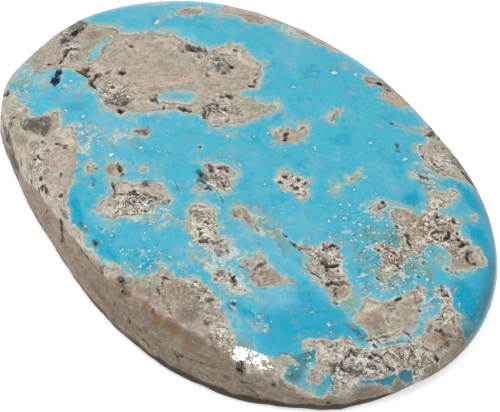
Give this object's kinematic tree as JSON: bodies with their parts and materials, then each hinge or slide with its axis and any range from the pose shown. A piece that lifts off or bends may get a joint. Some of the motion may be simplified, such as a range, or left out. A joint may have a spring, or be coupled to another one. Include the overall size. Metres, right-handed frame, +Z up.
{
  "type": "polished turquoise stone",
  "caption": "Oval cabochon of polished turquoise in brown host rock: a low domed face over a rough wall, with a flat ground back to lie on.",
  "frame": {"origin": "middle of the stone's box in plan, on the flat back that it lies on", "axes": "+X along the stone towards its thin end, +Y across it away from its tall wall, +Z up out of the polished face"},
  "size_m": [0.0416, 0.029, 0.006],
  "materials": {
    "turquoise": "polished"
  },
  "bodies": {
    "root": {"turquoise_stone": "turquoise"}
  },
  "joints": []
}
